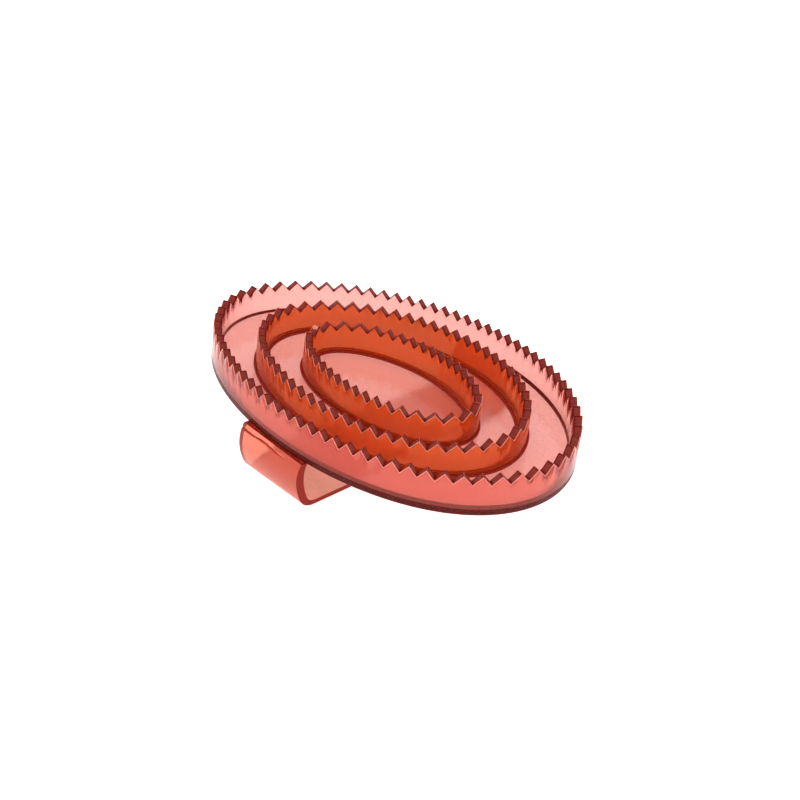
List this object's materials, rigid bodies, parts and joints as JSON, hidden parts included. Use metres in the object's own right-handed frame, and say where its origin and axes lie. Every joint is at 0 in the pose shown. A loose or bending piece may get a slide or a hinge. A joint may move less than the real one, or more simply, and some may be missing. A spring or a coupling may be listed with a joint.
{
  "type": "oval curry comb with a hand strap",
  "caption": "Oval grooming comb in soft translucent red plastic: nested rings of V teeth on a thin plate, with a hand strap across its back.",
  "frame": {"origin": "centre of the oval, at the height of the strap's flat underside, which is the lowest face", "axes": "+X along the oval's long side, +Y across the oval, +Z from the strap up towards the tooth tips"},
  "size_m": [0.16, 0.1172, 0.0364],
  "materials": {
    "plate_red": "glossy translucent red soft plastic with a dull edge",
    "ring_red": "glossy translucent red soft plastic",
    "strap_red": "glossy translucent pale red soft plastic"
  },
  "bodies": {
    "root": {"back_plate": "plate_red", "outer_tooth_ring": "ring_red", "middle_tooth_ring": "ring_red", "inner_tooth_ring": "ring_red", "hand_strap": "strap_red"}
  },
  "joints": []
}
